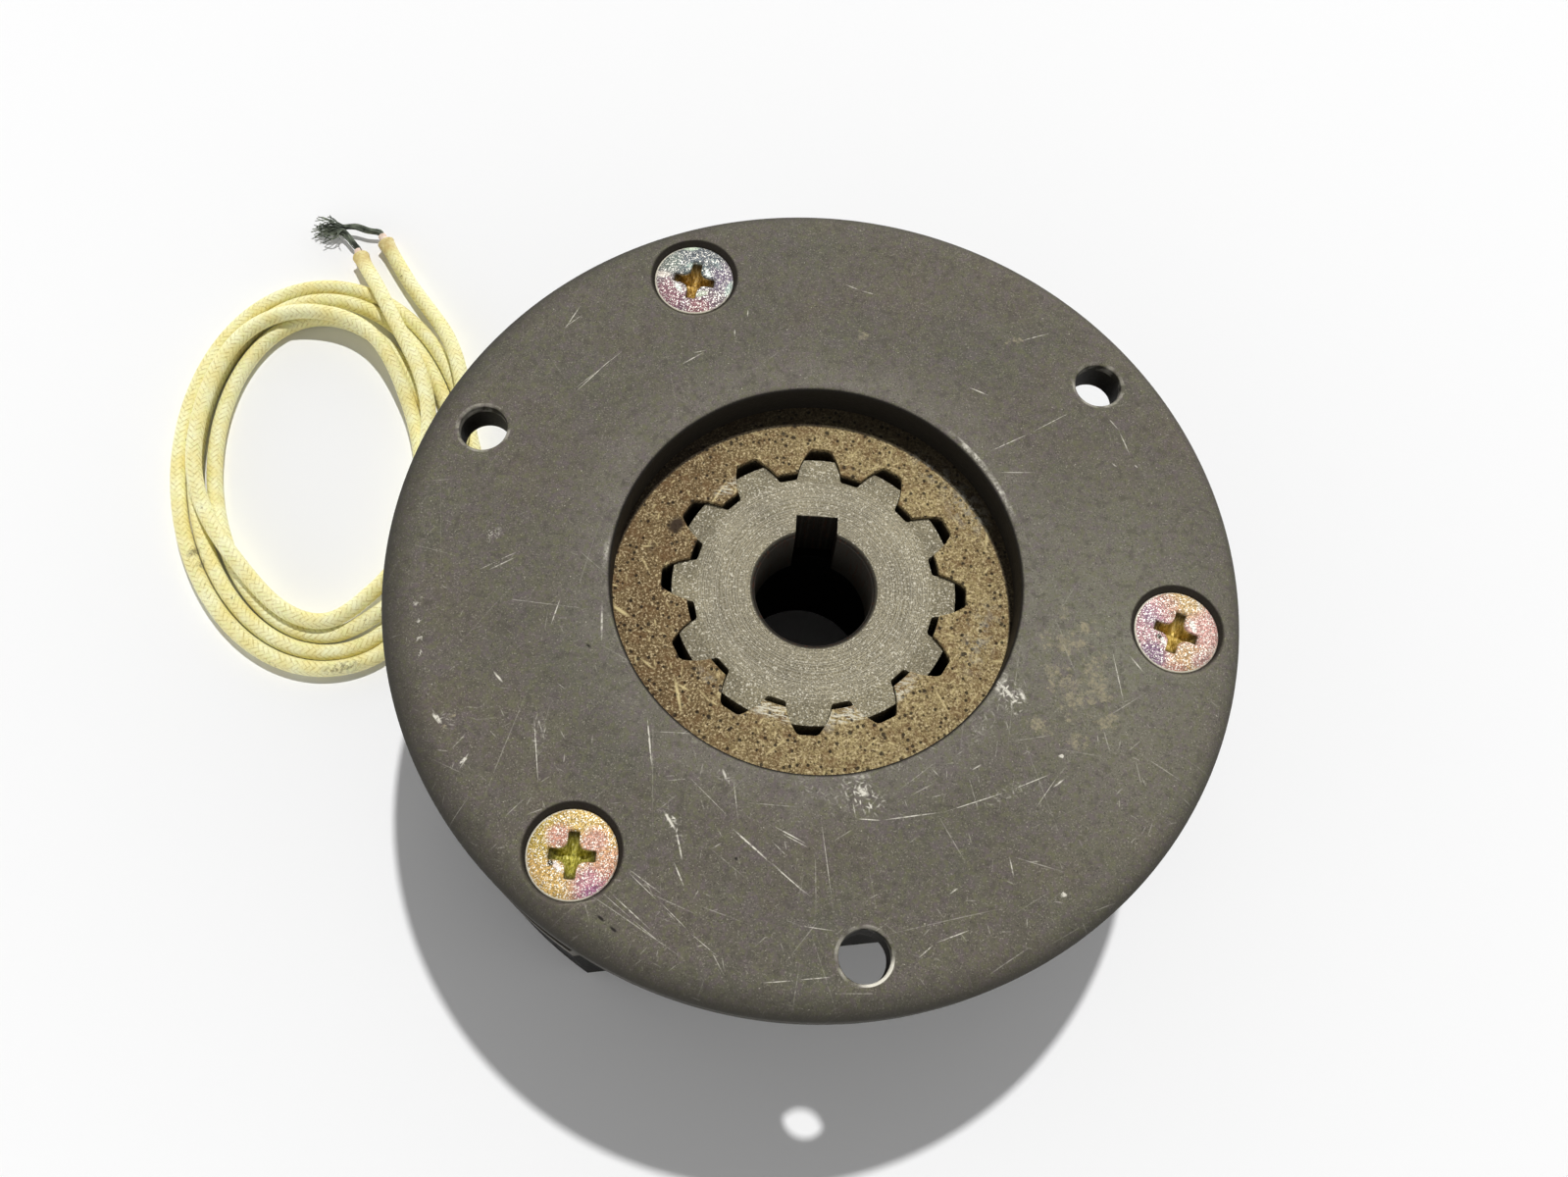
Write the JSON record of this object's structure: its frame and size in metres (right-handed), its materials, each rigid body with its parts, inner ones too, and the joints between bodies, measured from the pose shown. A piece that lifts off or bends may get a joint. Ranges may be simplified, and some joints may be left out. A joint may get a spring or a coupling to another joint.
{
  "type": "spring applied disc brake",
  "caption": "Round power-off brake: slotted stator with coil and springs, armature, splined friction rotor on a toothed hub, side plate on collars, two braided leads.",
  "frame": {"origin": "on the brake's axis, at the stator's back face", "axes": "+Z along the axis towards the side plate and the shaft's entry; +X through one of the three screws"},
  "size_m": [0.143, 0.1092, 0.0362],
  "materials": {
    "plate_steel": "phosphated, scratched",
    "chromated_screw": "yellow chromate, iridescent",
    "collar_steel": "turned",
    "friction_lining": "moulded friction material with short fibres",
    "hub_steel": "turned and broached",
    "armature_steel": "phosphated, ground faces",
    "stator_steel": "phosphated",
    "bobbin_plastic": "moulded",
    "copper_winding": "enamelled copper wire",
    "potting_resin": "cast resin",
    "spring_steel": "drawn wire",
    "grommet_rubber": "moulded",
    "lead_braid": "varnished glass braid",
    "bare_conductor": "tinned strands, tarnished"
  },
  "bodies": {
    "housing": {"side_plate": "plate_steel", "plate_screw_1": "chromated_screw", "plate_screw_2": "chromated_screw", "plate_screw_3": "chromated_screw", "collar_1": "collar_steel", "collar_2": "collar_steel", "collar_3": "collar_steel", "stator_yoke": "stator_steel", "coil_bobbin": "bobbin_plastic", "coil_winding": "copper_winding", "coil_potting": "potting_resin", "torque_spring_1": "spring_steel", "torque_spring_2": "spring_steel", "torque_spring_3": "spring_steel", "torque_spring_4": "spring_steel", "torque_spring_5": "spring_steel", "torque_spring_6": "spring_steel", "lead_grommet": "grommet_rubber", "lead_out_a": "lead_braid", "lead_out_b": "lead_braid", "lead_coil": "lead_braid", "lead_tail_a": "lead_braid", "lead_tail_b": "lead_braid", "lead_end_a": "bare_conductor", "lead_end_b": "bare_conductor"},
    "hub": {"rotor_hub": "hub_steel"},
    "rotor": {"friction_rotor": "friction_lining"},
    "armature": {"armature": "armature_steel"}
  },
  "joints": [
    {"name": "rotor_spin", "type": "hinge", "parent": "housing", "child": "hub", "pos_m": [0, 0, 0.0258], "axis": [0, 0, 1], "continuous": true},
    {"name": "armature_slide", "type": "slide", "parent": "housing", "child": "armature", "axis": [0, 0, -1], "range_m": [0, 0.0002], "stiffness_N_per_m": 1500, "springref_m": -0.004, "deforming": ["torque_spring_1", "torque_spring_2", "torque_spring_3", "torque_spring_4", "torque_spring_5", "torque_spring_6"]},
    {"name": "rotor_float", "type": "slide", "parent": "hub", "child": "rotor", "axis": [0, 0, -1], "range_m": [0, 0.0001]}
  ],
  "couplings": [
    {"joint": "rotor_float", "follows": "armature_slide", "ratio": 0.5}
  ]
}
